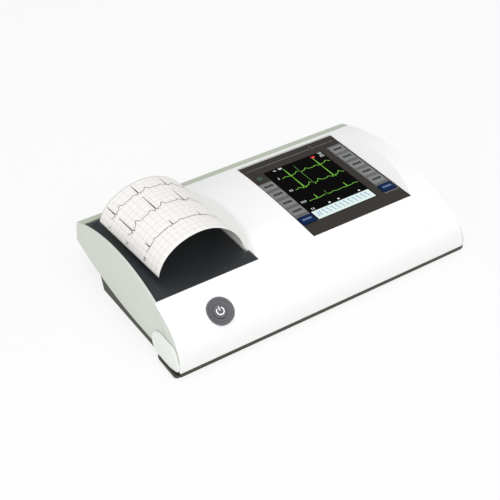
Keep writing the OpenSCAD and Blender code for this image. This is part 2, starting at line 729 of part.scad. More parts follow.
// middle line of the printed strip in the front view: up out of the slot, over and down
strip_x0 = web_x + paper_t/2;
strip_rx = strip_reach/2;
strip_bulge = 0.9;
strip_lean = 2.9;                         // the rising side leans over the lid by this much
strip_a1 = 180 - asin(pow(strip_end_h/strip_rise, 1/strip_bulge));
strip_path = concat([[strip_x0, platen_z + 4.4], [strip_x0, deck_h - 0.6]],
    [for (i = [0:24]) let (a = 4 + (strip_a1 - 4)*i/24)
        [strip_x0 - strip_rx + strip_rx*cos(a) - strip_lean*max(0, sin(2*a)),
        deck_h + strip_rise*pow(sin(a), strip_bulge)]]);

// both sides of a path, half a thickness away
function beside(p, t) = [for (i = [0:len(p) - 1])
    let (a = p[max(i - 1, 0)], b = p[min(i + 1, len(p) - 1)], d = (b - a)/norm(b - a))
    p[i] + t/2*[-d.y, d.x]];

module chart_paper() color([0.99, 0.98, 0.96]) {
    out = beside(strip_path, paper_t);
    in = beside(strip_path, -paper_t);
    along(paper_y0, paper_y1) polygon(concat(out, [for (i = [len(in) - 1:-1:0]) in[i]]));
}

module key_hole(x, i) translate([x, yn(key_row_y + i*key_pitch), panel_z - 1])
    rounded(key_w + 2*key_gap, key_d + 2*key_gap, panel_t + 2, 1.4);

module keypad_panel() color([0.25, 0.23, 0.21]) difference() {
    block([panel_x0, panel_y0, panel_z], [panel_x1, panel_y0 + panel_d, deck_h]);
    for (i = [0:4]) key_hole(key_x_left, i);
    for (i = [0:5]) key_hole(key_x_right, i);
    block([screen_x0, screen_y0, panel_z - 1], [screen_x1, screen_y1, deck_h + 1]);
    block([screen_x0 - window_lip, screen_y0 - window_lip, deck_h - window_t],
        [screen_x1 + window_lip, screen_y1 + window_lip, deck_h + 1]);
    translate([key_x_left, yn(key_row_y + 5*key_pitch), panel_z - 1]) cylinder(r = led_r, h = 9);
}

led_r = 2.2;

module display_window() color([0.1, 0.1, 0.1, 0.5])
    block([screen_x0 - window_lip + 0.1, screen_y0 - window_lip + 0.1, deck_h - window_t],
        [screen_x1 + window_lip - 0.1, screen_y1 + window_lip - 0.1, deck_h - 0.05]);

module lcd_module() color([0.05, 0.05, 0.06])
    block([screen_x0 - lcd_edge, screen_y0 - lcd_edge, lcd_z],
        [screen_x1 + lcd_edge, screen_y1 + lcd_edge, lcd_z + lcd_t]);

module keypad_board(x0, x1) color(board) {
    block([x0, screen_y0 - lcd_edge, keypad_z - keypad_t], [x1, screen_y1 + lcd_edge, keypad_z]);
    for (i = [0:4]) {
        y = key_row_y + (i + 0.5)*key_pitch;
        block([x0 + 0.5, y - rib/2, keypad_z - eps], [x1 - 0.5, y + rib/2, panel_z]);
    }
}

module keypad_board_left() keypad_board(panel_x0 + 1, screen_x0 - lcd_edge - 0.3);
module keypad_board_right() keypad_board(screen_x1 + lcd_edge + 0.4, panel_x1 - 1);

module key(x, i) translate([x, yn(key_row_y + i*key_pitch), 0]) {
    translate([0, 0, panel_z - 0.02]) rounded(key_w, key_d, panel_t + key_proud - 0.28, 1.2);
    translate([0, 0, deck_h + key_proud - 0.32]) rounded(key_w - 0.7, key_d - 0.7, 0.32, 0.9);
    translate([0, 0, panel_z - 0.02 - flange_t]) rounded(key_w, key_d + 2*flange, flange_t + 0.001, 1.2);
}

module key_left_1() color(grey) key(key_x_left, 4);
module key_left_2() color(grey) key(key_x_left, 3);
module key_left_3() color(grey) key(key_x_left, 2);
module key_left_4() color(grey) key(key_x_left, 1);
module key_left_blue() color(navy) key(key_x_left, 0);
module key_right_1() color(grey) key(key_x_right, 5);
module key_right_2() color(grey) key(key_x_right, 4);
module key_right_3() color(grey) key(key_x_right, 3);
module key_right_4() color(grey) key(key_x_right, 2);
module key_right_5() color(grey) key(key_x_right, 1);
module key_right_blue() color(navy) key(key_x_right, 0);

module status_led() color([0.3, 0.6, 0.35]) translate([key_x_left, yn(key_row_y + 5*key_pitch), keypad_z])
    cylinder(r = led_r - 0.05, h = deck_h + 0.2 - keypad_z);

module power_ring() color([0.46, 0.47, 0.48]) at_button() difference() {
    translate([0, 0, -ring_depth]) cylinder(r = ring_r, h = ring_depth + ring_proud);
    translate([0, 0, ring_proud - ring_dish])
        cylinder(r1 = ring_r - 3, r2 = ring_r - 1.2, h = ring_dish + eps);
    translate([0, 0, -ring_depth - 1]) cylinder(r = cap_r + run_gap, h = 12);
}

module power_button() color([0.4, 0.41, 0.42]) at_button() {
    translate([0, 0, -ring_depth - 1]) cylinder(r = cap_r, h = ring_depth + 0.8);
    translate([0, 0, -ring_depth - 1.6]) cylinder(r = cap_r + 1.2, h = 1.6 - run_gap);
}

module power_switch() color(black) at_button() translate([0, 0, switch_z - 3]) {
    translate([-3, -3, 0]) cube([6, 6, 2]);
    cylinder(r = 1.7, h = 3);
}

module power_board() color(board) at_button() translate([-peg_x - 1.4, -peg_y - 1.4, switch_z - 3 - 1.2])
    cube([2*peg_x + 2.8, 2*peg_y + 2.8, 1.2]);

board_posts = [[main_x0 + 5, main_y0 + 5], [main_x1 - 5, main_y0 + 5],
    [main_x0 + 5, main_y1 - 5], [main_x1 - 5, main_y1 - 5]];

// a component on the main board, placed as a share of the board
module chip(x, y, w, d, h) translate([main_x0 + x*main_w, yn(main_y0 + y*main_d), main_z])
    cube([w, d, main_t + h]);

module main_board() color(board) difference() {
    union() {
        block([main_x0, main_y0, main_z], [main_x1, main_y1, main_z + main_t]);
        chip(0.33, 0.3, 24, 24, 2);
        chip(0.56, 0.38, 12, 10, 1.6);
        chip(0.73, 0.18, 14, 16, 7);
        for (i = [0:3])
            post(main_x0 + main_w*(0.37 + 0.093*i), main_y0 + 0.8*main_d, main_z, 4, main_t + 9);
    }
    for (p = board_posts) post(p.x, p.y, main_z - 1, screw_r + 0.2, 9);
}

module board_screws() color(steel) for (p = board_posts) {
    post(p.x, p.y, main_z + main_t, 2*screw_r, 1.4);
    post(p.x, p.y, main_z - 2.5, screw_r - run_gap, main_t + 3);
}

module beeper() color(black) difference() {
    x = main_x0 + 0.2*main_w;
    y = main_y0 + 0.7*main_d;
    post(x, y, main_z + main_t, 7, 6);
    post(x, y, main_z + main_t + 4, 1, 6);
}

module input_board() color(board)
    block([input_x0, rear_post_y - 8, input_z - 1.6], [input_x0 + input_w, body_d - floor_t - 9, input_z]);

module shield_can() color(steel) difference() {
    x0 = input_x0 + 6;
    y0 = rear_post_y - 6;
    block([x0, y0, input_z], [x0 + input_w - 12, y0 + 15, input_z + 4]);
    block([x0 + 0.4, y0 + 0.4, input_z - 1], [x0 + input_w - 12.4, y0 + 14.6, input_z + 3.6]);
}

module patient_connector() color(black) difference() {
    union() {
        rear_block(socket_x, socket_z, 26.6, 10, body_d - 0.3);
        block([socket_x - 19.6, body_d - floor_t - 9, socket_z - 5],
            [socket_x + 19.6, body_d - floor_t - 0.1, socket_z + 5]);
        for (sx = [-1, 1]) rod(socket_x + sx*jack_pitch/2, body_d - floor_t - 3, socket_z, jack_r,
            floor_t + 3 - 0.3);
    }
    for (sx = [-1, 1]) rod(socket_x + sx*jack_pitch/2, body_d - 8, socket_z, jack_bore, 12);
    translate([socket_x, yn(body_d), socket_z]) rotate([90, 0, 0]) linear_extrude(4.6, center = true)
        difference() {
            socket_face(25, 8.6);
            socket_face(22.4, 6.2);
        }
    for (i = [0:7]) rod(socket_x - 9.6 + 2.74*i, body_d - 3, socket_z + 1.42, 0.5, 9);
    for (i = [0:6]) rod(socket_x - 8.2 + 2.74*i, body_d - 3, socket_z - 1.42, 0.5, 9);
}

module rear_block(x, z, w, h, y1) block([x - w/2, body_d - floor_t - 8, z - h/2], [x + w/2, y1, z + h/2]);

module power_inlet() color(black) difference() {
    rear_block(inlet_x, socket_z, 9, 9, body_d - 0.3);
    difference() {
        rod(inlet_x, body_d - 8, socket_z, 2.9, 12);
        rod(inlet_x, body_d - 9, socket_z, 0.9, 8);
    }
}

module data_port() color(steel) difference() {
    rear_block(port_x, socket_z, 9, 4, body_d - 0.3);
    block([port_x - 3.9, body_d - 7, socket_z - 1.4], [port_x + 3.9, body_d + 2, socket_z + 1.4]);
}

lower_housing();
top_cover();
base_tray();
rubber_feet();
corner_cap_left();
corner_cap_right();
battery_door();
battery_pack();
housing_screws();
printer_lid();
hinge_pins();
printer_frame();
platen_shaft();
platen_roller();
platen_gear();
shaft_bushes();
idler_pin();
idler_gear();
stepper_motor();
motor_shaft();
motor_pinion();
print_head();
head_springs();
tear_bar();
paper_pad();
paper_web();
chart_paper();
keypad_panel();
display_window();
lcd_module();
keypad_board_left();
keypad_board_right();
key_left_1();
key_left_2();
key_left_3();
key_left_4();
key_left_blue();
key_right_1();
key_right_2();
key_right_3();
key_right_4();
key_right_5();
key_right_blue();
status_led();
power_ring();
power_button();
power_switch();
power_board();
main_board();
board_screws();
beeper();
input_board();
shield_can();
patient_connector();
power_inlet();
data_port();
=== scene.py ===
import json
import math
import bpy
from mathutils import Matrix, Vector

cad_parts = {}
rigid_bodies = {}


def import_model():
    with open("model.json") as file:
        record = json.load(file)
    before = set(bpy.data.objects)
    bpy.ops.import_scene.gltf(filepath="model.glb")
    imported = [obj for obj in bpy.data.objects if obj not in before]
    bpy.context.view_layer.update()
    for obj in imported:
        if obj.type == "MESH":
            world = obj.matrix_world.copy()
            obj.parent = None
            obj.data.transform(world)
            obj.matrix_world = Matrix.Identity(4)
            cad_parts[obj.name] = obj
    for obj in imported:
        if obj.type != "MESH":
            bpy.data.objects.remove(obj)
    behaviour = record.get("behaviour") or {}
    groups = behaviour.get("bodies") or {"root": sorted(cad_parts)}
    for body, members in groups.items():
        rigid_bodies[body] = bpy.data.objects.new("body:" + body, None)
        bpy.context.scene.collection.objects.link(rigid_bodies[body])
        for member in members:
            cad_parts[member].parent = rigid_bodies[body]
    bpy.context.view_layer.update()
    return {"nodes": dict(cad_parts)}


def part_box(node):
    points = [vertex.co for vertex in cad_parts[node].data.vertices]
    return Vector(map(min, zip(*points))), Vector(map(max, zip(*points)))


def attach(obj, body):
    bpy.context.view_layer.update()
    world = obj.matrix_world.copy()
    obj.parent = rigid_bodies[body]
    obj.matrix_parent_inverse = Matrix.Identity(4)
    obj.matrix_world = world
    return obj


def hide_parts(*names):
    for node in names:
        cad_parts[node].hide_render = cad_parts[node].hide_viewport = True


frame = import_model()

# Lower housing: one moulding in sage ABS. Its cheeks get a paler copy of the sage, painted light
# for the light falling on them from the left, and the rear wall and strip keep the darker sage,
# painted shade. Its edges are eased by the mould, and screws from below hold it to the cover. The
# plastic has the fine, even grain of a spark-eroded mould.
def colour(*screen_values):
    # 8-bit screen values as the linear ones that the shaders take
    linear = []
    for c in screen_values:
        linear.append(((c / 255 + 0.055) / 1.055) ** 2.4 if c > 10 else c / 3294.6)
    return (*linear, 1)


def plastic(name, rgb, rough, grain=900, depth=0.00004, mottle=0.04, **sockets):
    # a moulded skin: grain is the bump's fineness and depth its height, and mottle is how far the
    # tone and the sheen wander over a few centimetres
    broad_scale, sheen_span = 34, 0.07
    made = bpy.data.materials.new(name)
    made.use_nodes = True
    tree = made.node_tree
    shader = tree.nodes["Principled BSDF"]
    for socket, value in sockets.items():
        shader.inputs[socket.replace("_", " ")].default_value = value
    place = tree.nodes.new("ShaderNodeTexCoord")
    fine = tree.nodes.new("ShaderNodeTexNoise")
    fine.inputs["Scale"].default_value = grain
    fine.inputs["Detail"].default_value = 3
    broad = tree.nodes.new("ShaderNodeTexNoise")
    broad.inputs["Scale"].default_value = broad_scale
    broad.inputs["Detail"].default_value = 5
    tree.links.new(place.outputs["Object"], fine.inputs["Vector"])
    tree.links.new(place.outputs["Object"], broad.inputs["Vector"])
    tone = tree.nodes.new("ShaderNodeMixRGB")
    tone.name = "tone"
    base = colour(*rgb)
    tone.inputs["Color1"].default_value = (*(c * (1 - mottle) for c in base[:3]), 1)
    tone.inputs["Color2"].default_value = (*(min(1, c * (1 + mottle)) for c in base[:3]), 1)
    tree.links.new(broad.outputs["Fac"], tone.inputs["Fac"])
    tree.links.new(tone.outputs["Color"], shader.inputs["Base Color"])
    sheen = tree.nodes.new("ShaderNodeMapRange")
    sheen.inputs["To Min"].default_value = max(0.02, rough - sheen_span)
    sheen.inputs["To Max"].default_value = min(1, rough + sheen_span)
    tree.links.new(broad.outputs["Fac"], sheen.inputs["Value"])
    tree.links.new(sheen.outputs["Result"], shader.inputs["Roughness"])
    bump = tree.nodes.new("ShaderNodeBump")
    bump.inputs["Distance"].default_value = depth
    bump.inputs["Strength"].default_value = 0.5
    tree.links.new(fine.outputs["Fac"], bump.inputs["Height"])
    tree.links.new(bump.outputs["Normal"], shader.inputs["Normal"])
    return made


def only(piece):
    bpy.ops.object.select_all(action="DESELECT")
    piece.select_set(True)
    bpy.context.view_layer.objects.active = piece


def edges(piece):
    only(piece)
    bpy.ops.object.mode_set(mode="EDIT")
    bpy.context.tool_settings.mesh_select_mode = (False, True, False)
    bpy.ops.mesh.select_all(action="SELECT")


def round_edges(piece, radius, where, steps, sharp):
    # rounds the edges that are sharper than an angle and whose middle passes where
    edges(piece)
    bpy.ops.mesh.select_all(action="DESELECT")
    bpy.ops.mesh.edges_select_sharp(sharpness=math.radians(sharp))
    bpy.ops.object.mode_set(mode="OBJECT")
    mesh = piece.data
    chosen = []
    for edge in mesh.edges:
        a, b = (mesh.vertices[i].co for i in edge.vertices)
        if edge.select and where((a + b) / 2):
            chosen.append(edge.index)
    for part in (mesh.vertices, mesh.edges, mesh.polygons):
        part.foreach_set("select", [False] * len(part))
    for i in chosen:
        mesh.edges[i].select = True
        for corner in mesh.edges[i].vertices:
            mesh.vertices[corner].select = True
    bpy.ops.object.mode_set(mode="EDIT")
    bpy.ops.mesh.bevel(offset=radius, segments=steps, affect="EDGES", clamp_overlap=False)
    bpy.ops.object.mode_set(mode="OBJECT")
    smooth(piece)


def eased(node, radius, name, where=lambda middle: True, steps=3, sharp=24):
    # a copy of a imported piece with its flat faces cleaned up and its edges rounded
    weld, flat_angle = 0.000002, math.radians(0.3)
    source = frame["nodes"][node]
    piece = bpy.data.objects.new(name, source.data.copy())
    bpy.context.collection.objects.link(piece)
    edges(piece)
    bpy.ops.mesh.customdata_custom_splitnormals_clear()
    bpy.ops.mesh.remove_doubles(threshold=weld)
    bpy.ops.mesh.dissolve_limited(angle_limit=flat_angle)
    bpy.ops.object.mode_set(mode="OBJECT")
    round_edges(piece, radius, where, steps, sharp)
    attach(piece, source.parent.name.replace("body:", ""))
    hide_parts(node)
    return piece


def smooth(piece, angle=35):
    only(piece)
    bpy.ops.object.shade_smooth_by_angle(angle=math.radians(angle))


def dress(piece, *materials):
    piece.data.materials.clear()
    for one in materials:
        piece.data.materials.append(one)


# one sage plastic in two copies: the paler one is painted light for the cheeks, the darker one
# painted shade for the rear
sage = plastic("sage_abs", (182, 190, 172), 0.45)
sage_painted_light = plastic("pale_sage_abs", (205, 211, 201), 0.42)
housing_low, housing_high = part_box("lower_housing")
rim_r = 0.00055
cheek_x, cheek_edge_x = housing_high.x - 0.0055, housing_high.x - 0.008
rear_y = housing_high.y - 0.012
housing = eased("lower_housing", rim_r, "housing_shell",
    lambda p: abs(p.x) > cheek_edge_x or p.y > rear_y)
dress(housing, sage, sage_painted_light)
# the cheek faces take the paler copy, painted light from the left
for face in housing.data.polygons:
    if abs(face.center.x) > cheek_x and face.center.y < housing_high.y - 0.0002:
        face.material_index = 1

# Base tray and battery door: a dark olive moulding with a coarser texture, set in under the
# cheeks so that the machine seems to float. The door drops into a recess over the cells.
def dress_nodes(material, *names):
    for node in names:
        held = frame["nodes"][node].data.materials
        for i in range(len(held)):
            held[i] = material


olive = plastic("olive_abs", (58, 60, 47), 0.6, grain=620, depth=0.00007)
rim_in, tray_rear, tray_rim_z = 0.006, 0.03, 0.0025
tray = eased("base_tray", 0.0007, "base_shell", lambda p: p.z < tray_rim_z and (p.y > tray_rear
    or abs(p.x) > housing_high.x - rim_in or p.y < housing_low.y + rim_in))
dress(tray, olive)
dress_nodes(olive, "battery_door")

# Rubber feet: four moulded discs glued into place over the front screws and at the tray's
# rear corners, each with a shallow cup in the middle.
foot_rubber = plastic("foot_rubber", (34, 34, 34), 0.8, grain=500, depth=0.00008)
foot_low, foot_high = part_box("rubber_feet")
foot_r, cup_rim, cup_slope = 0.006, 0.0022, 0.0004
foot_places = [(x, y) for x in (foot_low.x + foot_r, foot_high.x - foot_r)
    for y in (foot_low.y + foot_r, foot_high.y - foot_r)]
for i, (x, y) in enumerate(foot_places):
    bpy.ops.object.select_all(action="DESELECT")
    bpy.ops.mesh.primitive_cylinder_add(vertices=48, radius=foot_r, depth=foot_high.z,
        location=(x, y, foot_high.z / 2))
    foot = bpy.context.object
    foot.name = "foot_%d" % (i + 1)
    bpy.ops.object.transform_apply(location=True, rotation=True, scale=True)
    for face in foot.data.polygons:
        face.select = face.normal.z < -0.9
    for edge in foot.data.edges:
        edge.select = False
    bpy.context.tool_settings.mesh_select_mode = (False, False, True)
    bpy.ops.object.mode_set(mode="EDIT")
    bpy.ops.mesh.inset(thickness=cup_slope)
    bpy.ops.mesh.inset(thickness=cup_rim)
    bpy.ops.mesh.inset(thickness=cup_slope, depth=-cup_slope)
    bpy.ops.object.mode_set(mode="OBJECT")
    smooth(foot, 40)
    dress(foot, foot_rubber)
    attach(foot, "housing")
    if i == 0:
        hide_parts("rubber_feet")

# Inside the housing: sleeved cells, green boards with a pale print, plated screws, cans and
# shafts, acetal gears, a brass pinion and the printer's black moulded frame.
steel = plastic("plated_steel", (176, 178, 181), 0.3, grain=2600, depth=0.00001, Metallic=1.0)
acetal = plastic("acetal", (232, 229, 218), 0.38)
brass = plastic("brass", (200, 168, 92), 0.28, grain=2600, depth=0.00001, Metallic=1.0)
alloy = plastic("milled_alloy", (190, 192, 196), 0.34, grain=1800, depth=0.00001, Metallic=1.0)
board = plastic("solder_mask", (28, 92, 56), 0.34, grain=260, depth=0.00003, mottle=0.3)
sleeve = plastic("cell_sleeve", (36, 84, 140), 0.3)
frame_black = plastic("frame_black", (44, 46, 48), 0.55)
roller_rubber = plastic("roller_rubber", (30, 30, 31), 0.7, grain=1500)
dress_nodes(steel, "housing_screws", "hinge_pins", "platen_shaft", "idler_pin", "stepper_motor",
    "motor_shaft", "head_springs", "board_screws", "shield_can", "data_port")
dress_nodes(acetal, "platen_gear", "idler_gear", "shaft_bushes")
dress_nodes(brass, "motor_pinion")
dress_nodes(alloy, "print_head")
dress_nodes(board, "main_board", "input_board", "power_board", "keypad_board_left",
    "keypad_board_right")
dress_nodes(sleeve, "battery_pack")
dress_nodes(frame_black, "printer_frame", "power_switch", "beeper", "patient_connector",
    "power_inlet")
dress_nodes(roller_rubber, "platen_roller")

# Top cover: the white arched moulding, glossy enough to show soft highlights. The rim of the
# printer bay along the slot's wall is rolled over with a generous radius, and the edges along the
# cheeks are eased.
white = plastic("white_abs", (240, 241, 240), 0.3, mottle=0.008, depth=0.00001)
cover_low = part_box("top_cover")[0]
deck_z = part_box("keypad_panel")[1].z
slot_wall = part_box("tear_bar")[1].x
# the rounded rim runs along the slot's wall, in front of the rear strip and above the deck
wall_rim_r, rim_front, cheek_lean, cheek_top = 0.0022, 0.06, 0.08, 0.1268
cover = eased("top_cover", wall_rim_r, "cover_shell", lambda p: p.z > deck_z + 0.0012
    and slot_wall - 0.001 < p.x < slot_wall + 0.02 and p.y < rim_front, 6)
round_edges(cover, rim_r, lambda p: abs(p.x) + cheek_lean * p.z > cheek_top, 3, 24)
dress(cover, white)
dress_nodes(white, "tear_bar")

# Corner caps: two pale leaf-shaped bumpers snapped over the front ends of the cheeks.
cap_white = plastic("cap_white", (228, 232, 227), 0.36, mottle=0.012, depth=0.00001)
for side in ("left", "right"):
    cap = eased("corner_cap_" + side, 0.0007, "corner_bumper_" + side, steps=4)
    dress(cap, cap_white)

# Printer lid: a flat charcoal moulding with a satin face, hinged at its rear edge, with a
# raised nib at the slot for lifting it.
charcoal = plastic("lid_charcoal", (36, 40, 44), 0.42, grain=1500, depth=0.000015, mottle=0.06,
    Specular_IOR_Level=0.3)
lid = eased("printer_lid", 0.0005, "lid_shell")
dress(lid, charcoal)

# Chart paper: thermal paper 80 mm wide with a printed 5 mm grid between plain margins. It
# springs up out of the slot, arches over the lid and its end lies just above it.
strip_low, strip_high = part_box("chart_paper")
strip_w = strip_high.y - strip_low.y
strip_rx = 0.03525
strip_end = 171.6
strip_half = 0.00015
strip_rise = strip_high.z - deck_z - strip_half


def strip_point(along, across):
    # along: 0 at the slot, 1 at the free end; across: 0 at the front, 1 at the rear
    base = strip_high.x - strip_half
    stub = 0.035
    if along < stub:
        return (base, strip_low.y + strip_w * across, deck_z - 0.0037 + 0.0031 * along / stub)
    start = 4
    turn = start + (strip_end - start) * (along - stub) / (1 - stub)
    a = math.radians(turn)
    slack = across * (turn / 180) ** 1.5
    x = base - strip_rx + strip_rx * math.cos(a) - 0.0029 * max(0, math.sin(2 * a))
    rise = (strip_rise - 0.0024 * across) * math.sin(a) ** 0.9
    return (x - 0.0036 * slack, strip_low.y + strip_w * across, deck_z + rise)


def strip_lengths(count=400):
    total, steps, last = 0, [0], strip_point(0, 0.5)
    for i in range(count):
        here = strip_point((i + 1) / count, 0.5)
        total += math.dist(here, last)
        steps.append(total)
        last = here
    return steps


strip_steps = strip_lengths()
strip_len = strip_steps[-1]


def strip_at(from_end, across, lift=0.0):
    # from_end is a length along the paper from its free end, lift is height above its face
    want = strip_len - from_end
    i = max(k for k, s in enumerate(strip_steps[:-1]) if s <= max(0, want))
    part = (want - strip_steps[i]) / (strip_steps[i + 1] - strip_steps[i])
    along = (i + part) / (len(strip_steps) - 1)
    here, step = strip_point(along, across), 0.002
    ends = (along - step, along) if along > 0.995 else (along, min(1, along + step))
    a, b = (strip_point(end, across) for end in ends)
    flow = (b[0] - a[0], b[2] - a[2])
    size = math.hypot(*flow)
    out = (flow[1] / size, -flow[0] / size)
    return (here[0] + out[0] * lift, here[1], here[2] + out[1] * lift)


def ribbon(name, lines, width, place, material):
    # thin printed lines: each runs through its points on the flat, and is laid down by place
    verts, faces = [], []
    for line in lines:
        start = len(verts)
        for i, (u, v) in enumerate(line):
            a, b = line[max(0, i - 1)], line[min(len(line) - 1, i + 1)]
            size = math.hypot(b[0] - a[0], b[1] - a[1]) or 1
            side = (-(b[1] - a[1]) / size * width / 2, (b[0] - a[0]) / size * width / 2)
            verts += [place(u + side[0], v + side[1]), place(u - side[0], v - side[1])]
        faces += [(start + 2 * i, start + 2 * i + 1, start + 2 * i + 3, start + 2 * i + 2)
            for i in range(len(line) - 1)]
    data = bpy.data.meshes.new(name)
    data.from_pydata(verts, [], faces)
    piece = bpy.data.objects.new(name, data)
    bpy.context.collection.objects.link(piece)
    dress(piece, material)
    return piece


bpy.ops.object.select_all(action="DESELECT")
bpy.ops.mesh.primitive_grid_add(x_subdivisions=90, y_subdivisions=40, size=1)
paper = bpy.context.object
paper.name = "chart_strip"
for point in paper.data.vertices:
    point.co = strip_at((0.5 + point.co.x) * strip_len, point.co.y + 0.5)
smooth(paper, 60)
bpy.ops.object.mode_set(mode="EDIT")
bpy.ops.mesh.select_all(action="SELECT")
bpy.ops.mesh.normals_make_consistent(inside=False)
bpy.ops.object.mode_set(mode="OBJECT")
thick = paper.modifiers.new("thickness", "SOLIDIFY")
thick.thickness = 0.00012
thick.offset = 0
bpy.ops.object.modifier_apply(modifier="thickness")

chart = plastic("chart_paper", (238, 236, 233), 0.62, grain=2400, depth=0.00001, mottle=0.01)


def calc(tree, operation, *values):
    # one math node, fed by sockets and plain numbers
    node = tree.nodes.new("ShaderNodeMath")
    node.operation = operation
    for socket, value in zip(node.inputs, values):
        if isinstance(value, (int, float)):
            socket.default_value = value
        else:
            tree.links.new(value, socket)
    return node.outputs[0]


square = 0.005
plain_margin = 0.45
line_core, line_fade = 0.018, 0.05
tree = chart.node_tree
spot = tree.nodes.new("ShaderNodeUVMap")
size = tree.nodes.new("ShaderNodeMapping")
size.inputs["Scale"].default_value = (strip_len / square, strip_w / square, 1)
size.inputs["Location"].default_value = (0.1, 0.0, 0)
split = tree.nodes.new("ShaderNodeSeparateXYZ")
tree.links.new(spot.outputs["UV"], size.inputs["Vector"])
tree.links.new(size.outputs["Vector"], split.inputs["Vector"])
lines = []
for axis in "XY":
    near = tree.nodes.new("ShaderNodeMapRange")
    near.inputs["From Min"].default_value = line_core
    near.inputs["From Max"].default_value = line_fade
    near.inputs["To Min"].default_value = 1
    near.inputs["To Max"].default_value = 0
    tree.links.new(calc(tree, "PINGPONG", split.outputs[axis], 0.5), near.inputs["Value"])
    lines.append(near.outputs["Result"])
middle_row = strip_w / square / 2
band = calc(tree, "COMPARE", split.outputs["Y"], middle_row, 8 - plain_margin)
inked = calc(tree, "MULTIPLY", calc(tree, "MAXIMUM", *lines), band)
grid = tree.nodes.new("ShaderNodeMixRGB")
grid.inputs["Color2"].default_value = colour(214, 207, 202)
tree.links.new(inked, grid.inputs["Fac"])
tree.links.new(tree.nodes["tone"].outputs["Color"], grid.inputs["Color1"])
tree.links.new(grid.outputs["Color"], tree.nodes["Principled BSDF"].inputs["Base Color"])
dress(paper, chart)
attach(paper, "printer_lid")
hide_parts("chart_paper")
dress_nodes(plastic("pad_paper", (238, 237, 232), 0.7), "paper_pad", "paper_web")


spike_half = 0.00025


def heartbeat(t, peak, wave):
    # height of one lead's trace at t metres after the tall spike
    dip_at, dip_half = 0.0012, 0.0006
    spike = peak * max(0, 1 - abs(t) / spike_half)
    before, after = (max(0, 1 - abs(t + d) / dip_half) for d in (dip_at, -dip_at))
    dip = -0.10 * peak * (before + 1.2 * after)
    late = wave * math.exp(-((t - 0.0066) / 0.0014) ** 2)
    early = 0.4 * wave * math.exp(-((t + 0.0045) / 0.0011) ** 2)
    return spike + dip + late + early


def trace(start, end, beats, base, peak, wave, step=0.0003):
    marks = {start + step * i for i in range(int((end - start) / step) + 1)}
    marks |= {b + d for b in beats for d in (-spike_half, 0, spike_half) if start < b + d < end}
    return [(t, base + sum(heartbeat(t - b, peak, wave) for b in beats)) for t in sorted(marks)]


ink = plastic("thermal_print", (74, 66, 64), 0.7)
beats = [0.0135 + 0.0230 * i for i in range(4)]
leads, marks = [], []
# each lead: its place across the strip, spike height, wave height and the bars of its label
for place, peak, wave, count in ((0.24, 0.006, 0.0013, 3), (0.53, 0.0185, 0.0038, 2),
        (0.83, 0.0115, 0.0027, 1)):
    leads.append(trace(0.0088, strip_len - 0.012, beats, strip_w * place, peak, wave))
    for i in range(count):
        x = 0.0028 + 0.0011 * i
        marks.append([(x, strip_w * place - 0.0012), (x, strip_w * place + 0.0012)])


def on_paper(u, v):
    return strip_at(u, v / strip_w, 0.0002)


printed = ribbon("chart_traces", leads, 0.00042, on_paper, ink)
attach(printed, "printer_lid")
labels = ribbon("chart_labels", marks, 0.00045, on_paper, ink)
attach(labels, "printer_lid")

# Keypad panel: a thin film-covered plate let into the pocket. The film is a warm dark grey,
# with a paler band down each side under the keys and one fine line across the top.
panel_low, panel_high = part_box("keypad_panel")
skin, print_lift = 0.0001, 0.00004
film = plastic("panel_film", (52, 48, 44), 0.55, grain=1300, depth=0.00002, Specular_IOR_Level=0.12)
panel = eased("keypad_panel", 0.0002, "panel_plate", lambda p: p.z > panel_high.z - skin, 2)
dress(panel, film)
line_grey = plastic("line_grey", (140, 144, 143), 0.5)
key_low, key_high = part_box("key_right_1")
blue_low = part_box("key_right_blue")[0]
left_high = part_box("key_left_1")[1]
tree = film.node_tree
spot = tree.nodes.new("ShaderNodeTexCoord")
split = tree.nodes.new("ShaderNodeSeparateXYZ")
tree.links.new(spot.outputs["Object"], split.inputs["Vector"])
under = tree.nodes["tone"].outputs["Color"]
side_bands = ((key_low.x - 0.0002, panel_high.x - 0.0012, blue_low.y - 0.0011, key_high.y + 0.0011),
    (panel_low.x + 0.0009, left_high.x + 0.0001, blue_low.y + 0.0004, left_high.y + 0.0006))
for x0, x1, y0, y1 in side_bands:
    inside = [calc(tree, "COMPARE", split.outputs[axis], (a + b) / 2, (b - a) / 2)
        for axis, a, b in (("X", x0, x1), ("Y", y0, y1))]
    print_over = tree.nodes.new("ShaderNodeMixRGB")
    print_over.inputs["Color2"].default_value = colour(104, 105, 105)
    tree.links.new(calc(tree, "MULTIPLY", *inside), print_over.inputs["Fac"])
    tree.links.new(under, print_over.inputs["Color1"])
    under = print_over.outputs["Color"]
tree.links.new(under, tree.nodes["Principled BSDF"].inputs["Base Color"])
line_y, mark_x = 0.0543, 0.0763
fine_lines = ribbon("panel_lines", [[(panel_low.x + 0.004, line_y), (mark_x - 0.0018, line_y)],
    [(mark_x + 0.0002, line_y), (panel_high.x - 0.0035, line_y)],
    [(mark_x, line_y + 0.0005), (mark_x, line_y + 0.0048)],
    [(mark_x, line_y - 0.0005), (mark_x, line_y - 0.0016)]],
    0.00032, lambda u, v: (u, v, panel_high.z + print_lift), line_grey)
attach(fine_lines, "housing")

